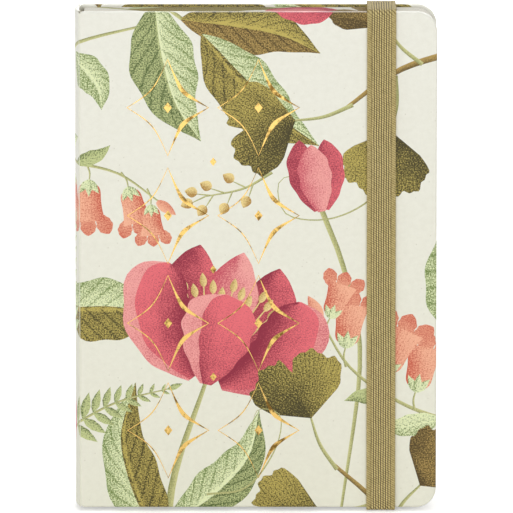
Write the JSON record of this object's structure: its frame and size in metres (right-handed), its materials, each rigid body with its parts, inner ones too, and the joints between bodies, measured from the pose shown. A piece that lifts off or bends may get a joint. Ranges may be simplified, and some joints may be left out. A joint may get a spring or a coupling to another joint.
{
  "type": "weekly planner",
  "caption": "Hard-cover weekly planner: sewn page block in a paper-wrapped case with a rounded spine, round fore-edge corners and a corded elastic closing loop.",
  "frame": {"origin": "centre of the closed planner's bounding box, at the surface that it stands on", "axes": "+X from the spine to the fore-edge, +Y from the front cover to the back cover, +Z from the tail to the head"},
  "size_m": [0.1318, 0.0212, 0.1863],
  "materials": {
    "printed_wrap": "cream laminated paper with an all-over plant print, soft sheen",
    "cover_board": "grey-brown binder's board, matt",
    "endpaper": "smooth cream endpaper, matt",
    "pages": "ivory writing paper, edges printed with the cover's pattern",
    "spine_cloth": "open starched gauze",
    "spine_paper": "brown kraft lining, matt",
    "elastic": "corded olive-gold elastic, matt woven"
  },
  "bodies": {
    "block": {"wrap_spine": "printed_wrap", "spine_inlay": "cover_board", "spine_liner": "spine_paper", "spine_mull": "spine_cloth", "section_07": "pages", "section_08": "pages", "section_09": "pages", "section_10": "pages", "flyleaf_back": "endpaper"},
    "front_cover": {"wrap_front": "printed_wrap", "front_board": "cover_board", "pastedown_front": "endpaper"},
    "back_cover": {"wrap_back": "printed_wrap", "back_board": "cover_board", "pastedown_back": "endpaper", "elastic_end_head": "elastic", "elastic_end_tail": "elastic"},
    "first_pages": {"flyleaf_front": "endpaper", "section_01": "pages", "section_02": "pages", "section_03": "pages"},
    "middle_pages": {"section_04": "pages", "section_05": "pages", "section_06": "pages"},
    "elastic": {"elastic_band": "elastic"}
  },
  "joints": [
    {"name": "front_cover_hinge", "type": "hinge", "parent": "block", "child": "front_cover", "pos_m": [-0.06413, -0.00942, 0.093], "axis": [0, 0, -1], "range_deg": [0, 180]},
    {"name": "first_pages_turn", "type": "hinge", "parent": "block", "child": "first_pages", "pos_m": [-0.06243, -0.00598, 0.093], "axis": [0, 0, -1], "range_deg": [0, 83]},
    {"name": "middle_pages_turn", "type": "hinge", "parent": "block", "child": "middle_pages", "pos_m": [-0.06243, -0.00228, 0.093], "axis": [0, 0, -1], "range_deg": [0, 37]},
    {"name": "back_cover_hinge", "type": "hinge", "parent": "block", "child": "back_cover", "pos_m": [-0.06413, 0.00942, 0.093], "axis": [0, 0, 1], "range_deg": [0, 180]},
    {"name": "elastic_release", "type": "hinge", "parent": "back_cover", "child": "elastic", "pos_m": [0.04568, 0.01008, 0.093], "axis": [0, 0, 1], "range_deg": [0, 180], "deforming": ["elastic_band"]}
  ],
  "couplings": [
    {"joint": "first_pages_turn", "follows": "front_cover_hinge", "ratio": 0.46},
    {"joint": "middle_pages_turn", "follows": "front_cover_hinge", "ratio": 0.2},
    {"joint": "elastic_release", "follows": "front_cover_hinge", "ratio": 1}
  ]
}
